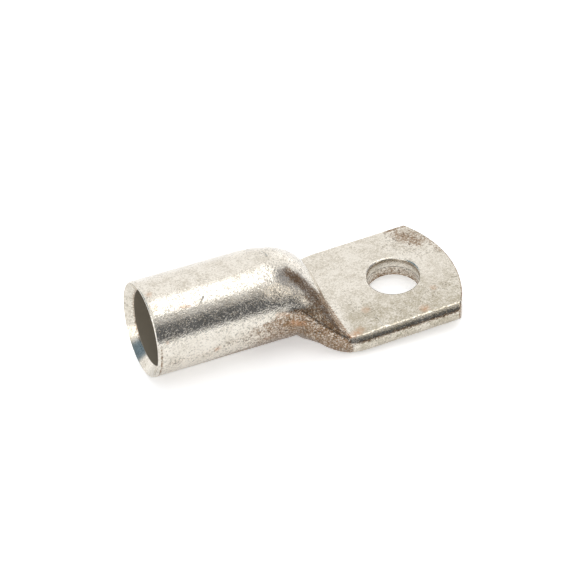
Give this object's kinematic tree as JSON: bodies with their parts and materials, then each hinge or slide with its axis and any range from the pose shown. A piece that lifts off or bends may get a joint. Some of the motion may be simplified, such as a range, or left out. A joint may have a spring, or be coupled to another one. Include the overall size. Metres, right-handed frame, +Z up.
{
  "type": "cable lug",
  "caption": "Tubular crimp lug of tin-plated copper: a round barrel with a countersunk bore, necked down into a flat pressed palm with a stud hole.",
  "frame": {"origin": "axis of the stud hole, on the palm's underside", "axes": "+Z up along the stud hole's axis, +X towards the palm's free end, +Y across the palm; the barrel runs back along -X and falls 2 degrees towards the palm"},
  "size_m": [0.0662, 0.0282, 0.0207],
  "materials": {
    "tinned_copper": "satin tin plating on copper"
  },
  "bodies": {
    "root": {"cable_lug": "tinned_copper"}
  },
  "joints": []
}
